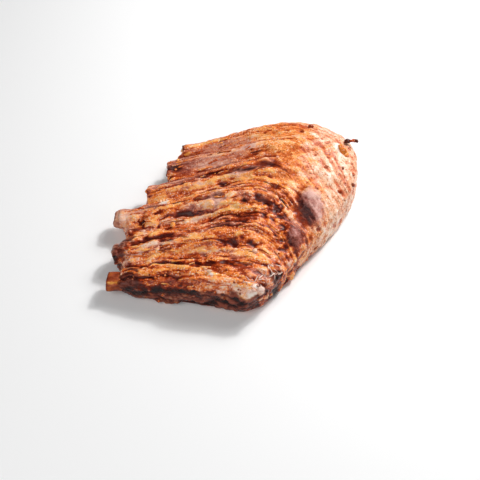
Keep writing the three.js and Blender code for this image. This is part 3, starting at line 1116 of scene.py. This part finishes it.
def add_shred(pile, ground, path, radius, lift, random, steepest=0.25, **values):
    """A loose fibre that lies along a path in plan, its ends sunk in the meat."""
    hits = [ground.under(*place) for place in path]
    if any(place is None for place, _ in hits):
        return
    middles = np.array([place for place, _ in hits])
    normals = np.array([normal for _, normal in hits])
    if normals[:, 2].min() < steepest:
        return
    for _ in range(2):
        middles[1:-1] = (middles[:-2] + middles[1:-1] * 2 + middles[2:]) / 4
        normals[1:-1] = (normals[:-2] + normals[1:-1] * 2 + normals[2:]) / 4
    along = np.linspace(0, 1, len(path))
    arch = np.sin(along * math.pi)
    swelling = 1 + 0.25 * np.sin(along * random.uniform(8, 20) + random.uniform(0, 6))
    girth = radius * (arch ** 0.5 * swelling + 0.05)
    middles += normals * (lift * arch - radius * (1 - arch) * 1.5)[:, None]
    run = np.gradient(middles, axis=0)
    run /= np.linalg.norm(run, axis=1, keepdims=True)
    aside = np.cross(normals, run)
    aside /= np.linalg.norm(aside, axis=1, keepdims=True)
    up = np.cross(run, aside)
    middles += aside * (random.normal() * 0.5 * MM * np.sin(along * random.uniform(2, 7)))[:, None]
    angle = angles_round(SHRED_SIDES)
    ring = aside[:, None] * np.cos(angle)[:, None] * 1.25 + up[:, None] * np.sin(angle)[:, None] * 0.85
    points = middles[:, None] + ring * girth[:, None, None]
    values["tone"] = values["tone"] + 0.12 * np.repeat(np.sin(along * random.uniform(4, 12)), SHRED_SIDES)
    pile.add(points.reshape(-1, 3), ring_faces(len(path), SHRED_SIDES), **values)


EDGE_CRUMBS = 45
TOP_CRUMBS = 60
BALL_RINGS = 7
BALL_SIDES = 9


def add_crumb(pile, place, normal, size, random, **values):
    """A small uneven lump, half sunk in the meat."""
    polar = np.repeat(np.linspace(0.12, math.pi - 0.12, BALL_RINGS), BALL_SIDES)
    turn = np.tile(angles_round(BALL_SIDES), BALL_RINGS)
    ball = np.column_stack([np.sin(polar) * np.cos(turn), np.sin(polar) * np.sin(turn), np.cos(polar)])
    ball *= (1 + 0.35 * noise(ball + random.uniform(0, 50, 3), (0.8, 0.8, 0.8), 99))[:, None]
    ball *= size * random.uniform(0.6, 1.3, 3)
    values["tone"] = values["tone"] + 0.15 * np.cos(polar)
    pile.add(place + normal * size * 0.1 + ball, ring_faces(BALL_RINGS, BALL_SIDES), **values)


def place_at(share, rib):
    """The place in plan of a share along the box and a rib number."""
    x = CAD_LOW[0] + share * CAD_SIZE[0]
    column = np.linspace(CAD_LOW[1], CAD_HIGH[1], 400)
    ribs = rib_number(np.column_stack([np.full(400, x), column, np.zeros(400)]))
    return np.array([x, np.interp(rib, ribs, column)])


# Single lumps: (share, rib), size (mm), tone, hue, how burnt, how fat.
BLOBS = [
    ((0.251, 2.53), 2.2, 0.6, -0.6, 0, 0),
    ((0.401, 1.03), 1.7, 0.95, 0.6, 0, 0),
    ((0.385, 1.1), 1.3, 0.9, 0.6, 0, 0),
    ((0.195, 3.3), 1.6, 0.95, 0.5, 0, 0),
    ((0.207, 3.34), 1.8, 0.9, 0.5, 0, 0),
    ((0.22, 3.28), 1.3, 0.9, 0.5, 0, 0),
    ((0.812, 6), 1.7, 0.28, 0.1, 0.3, 0),
    ((0.928, 4.98), 2.4, 0.64, -0.3, 0, 0),
    ((0.938, 4.88), 2.9, 0.6, -0.3, 0, 0),
    ((0.949, 4.78), 2.5, 0.66, -0.3, 0, 0),
    ((0.914, 3.34), 1.8, 0.34, 0.1, 0, 0),
    ((0.974, 4.07), 1.3, 0.32, 0.1, 0, 0),
    ((0.971, 3.73), 1.6, 0.32, 0.2, 0.6, 0),
    ((0.932, 4.16), 1.2, 0.3, 0.2, 0.5, 0),
    ((0.594, 0.79), 2.7, 0.6, 0.8, 0, 0.9),
    ((0.583, 0.85), 1.6, 0.35, 0.8, 0, 0.5),
    ((0.587, 0.87), 1.3, 0.25, 0.8, 0.5, 0),
    ((0.566, 0.73), 1.4, 0.6, 0.8, 0, 0.8),
    ((0.552, 0.71), 1.5, 0.6, 0.8, 0, 0.8),
    ((0.612, 0.95), 1.8, 0.3, 0.8, 0.6, 0),
    ((0.573, 1.61), 2, 0.8, 0.5, 0, 0.3),
    ((0.12, 2.78), 2.2, 0.5, 0.2, 0.2, 0),
    ((0.145, 2.82), 2, 0.55, 0.2, 0.2, 0),
]
# Tufts of short bristles on the crust, their pale colour partly painted glints on the crusty fibres: (share,
# rib), how many, how far they spread (mm).
TUFTS_WITH_PAINTED_GLINTS = [
    ((0.65, 1.14), 34, 6.5),
    ((0.55, 0.8), 10, 4),
    ((0.59, 0.95), 8, 4),
]
# A burnt sprig that stands out at the back: its foot, and lumps (mm along, mm up, size, how burnt).
SPRIG = (0.945, 5.45)
SPRIG_LUMPS = [
    (1.5, 0.2, 1.4, 0.5),
    (2.8, 1.2, 2, 1),
    (3.9, 0.6, 1.7, 1),
    (5.3, 1.2, 1.2, 0.1),
    (6.6, 1.5, 1.1, 0),
    (7.9, 1.6, 1.2, 0.1),
    (9.2, 1.5, 1.6, 0.9),
    (10.4, 0.9, 1.4, 1),
]


def random_places(ground, random, count, shares, ribs):
    """Random places on the meat, each with the meat's normal there."""
    for _ in range(count):
        place, normal = ground.under(*place_at(random.uniform(*shares), random.uniform(*ribs)))
        if place is not None:
            yield place, normal


def make_bits(ground, top):
    """All the shreds and crumbs as one mesh."""
    random = np.random.RandomState(5)
    pile = Pile()
    starts = [place_at(random.uniform(0.03, 0.68), random.uniform(0.6, 6.3)) for _ in range(SHREDS)]
    lengths = random.uniform(6, 22, SHREDS) * MM
    paths = follow_flow(np.array(starts), SHRED_RINGS - 1, (lengths / (SHRED_RINGS - 1))[:, None])
    for path in paths:
        radius = random.uniform(0.3, 0.65) * MM
        burnt = 0.7 if random.uniform() < 0.12 else 0.0
        shade = 0.62 + 0.16 * random.normal()
        add_shred(pile, ground, path, radius, random.uniform(0, 0.1) * MM, random, tone=shade, burnt=burnt)
    for place, normal in random_places(ground, random, EDGE_CRUMBS, (0.02, 0.66), (0.55, 1.15)):
        size = random.uniform(0.5, 1.3) * MM
        burnt = 0.7 if random.uniform() < 0.6 else 0.1
        add_crumb(pile, place, normal, size, random, tone=0.5, burnt=burnt)
    for place, normal in random_places(ground, random, TOP_CRUMBS, (0.04, 0.72), (1.0, 6.2)):
        size = random.uniform(0.4, 1.0) * MM
        shade = 0.6 + 0.2 * random.normal()
        fat = 0.5 if random.uniform() < 0.2 else 0.0
        add_crumb(pile, place, normal, size, random, tone=shade, fat=fat)
    for place, size, shade, tint, burnt, fat in BLOBS:
        at, normal = ground.under(*place_at(*place))
        if at is None:
            continue
        add_crumb(pile, at, normal, size * MM, random, tone=shade, hue=tint, burnt=burnt, fat=fat)
    for place, many, spread in TUFTS_WITH_PAINTED_GLINTS:
        for _ in range(many):
            start = place_at(*place) + random.normal(size=2) * spread * 0.6 * MM
            turn = random.uniform(0, 2 * math.pi)
            way = np.array([math.cos(turn), math.sin(turn)]) * random.uniform(3.0, 7.5) * MM
            path = start + np.linspace(0, 1, 8)[:, None] * way
            # Pale bristles: their pale colour is partly painted glints.
            shade = random.uniform(0.6, 1.0)
            add_shred(pile, ground, path, 0.28 * MM, 0.4 * MM, random, 0.0, tone=shade, hue=0.9, fat=0.5)
    start, normal = ground.under(*place_at(*SPRIG))
    for along, rise, size, burnt in SPRIG_LUMPS:
        at = start + np.array([along, 0, rise]) * MM
        add_crumb(pile, at, normal, size * MM, random, tone=0.4, burnt=burnt)
    return pile.mesh(top)


# ---- stage ----

CAMERA_ELEVATION = math.radians(50)
CAMERA_LENS = 85  # millimetres, on a 36 mm sensor
CAMERA_DISTANCE = 0.84
CAMERA_TARGET = (0.516, 0.336, 0.413)  # share of the object's box
FLOOR_HALF = 3  # metres
FLOOR_GAP = 0.2 * MM  # the floor is this much lower than the underside


def make_camera():
    data = bpy.data.cameras.new("camera")
    data.lens = CAMERA_LENS
    data.sensor_width = 36
    camera = new_object("camera", data)
    back = Vector((0, -math.cos(CAMERA_ELEVATION), math.sin(CAMERA_ELEVATION)))
    camera.location = Vector(CAD_LOW + CAD_SIZE * CAMERA_TARGET) + back * CAMERA_DISTANCE
    camera.rotation_euler = (-back).to_track_quat("-Z", "Y").to_euler()
    bpy.context.scene.camera = camera


def area_light(name, place, size, power, colour=(1, 1, 1)):
    data = bpy.data.lights.new(name, "AREA")
    data.size = size
    data.energy = power
    data.color = colour
    light = new_object(name, data)
    light.location = place
    light.rotation_euler = (-Vector(place)).to_track_quat("-Z", "Y").to_euler()


def make_stage():
    corners = FLOOR_HALF * np.array([(-1, -1, 0), (1, -1, 0), (1, 1, 0), (-1, 1, 0)])
    floor = new_mesh("floor", corners, [(0, 1, 2, 3)])
    floor_object = new_object("floor", floor)
    floor_object.location.z = -FLOOR_GAP
    g = Graph("white_floor")
    g.fill(g.surface, {"Base Color": (0.93, 0.93, 0.93, 1), "Roughness": 0.6})
    floor.materials.append(g.material)
    floor_object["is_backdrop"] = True
    world = bpy.data.worlds.new("studio")
    world.use_nodes = True
    world.node_tree.nodes["Background"].inputs["Color"].default_value = (1, 1, 1, 1)
    world.node_tree.nodes["Background"].inputs["Strength"].default_value = 0.08
    bpy.context.scene.world = world
    area_light("key", (0.45, 0.42, 0.62), 0.4, 5.0)
    area_light("sparkle", (0.45, 0.42, 0.62), 0.08, 3.4)
    area_light("fill", (-0.45, -0.62, 0.72), 0.8, 4.8)
    area_light("side", (0.7, -0.5, 0.5), 0.6, 1.1)
    bpy.context.scene.view_settings.view_transform = "Standard"


# ---- all together ----


def add_piece(name, mesh, material, slot, *nodes):
    piece = new_object(name, mesh)
    mesh.materials.clear()
    mesh.materials.append(material)
    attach(piece, "root")
    if nodes:
        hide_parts(*nodes)
    return piece


make_camera()
make_stage()
meat_mesh, slab_top = make_meat()
meat_look, bone_look = meat_material(), bone_material()
add_piece("roasted_meat", meat_mesh, meat_look, "meat", "meat")
for rib_index in range(len(BONES)):
    rib_name = f"rib_bone_{rib_index + 1}"
    add_piece(f"cut_{rib_name}", make_bone(rib_index), bone_look, "bone", rib_name)
add_piece("shreds_and_crumbs", make_bits(Ground(meat_mesh), slab_top), meat_look, "meat")
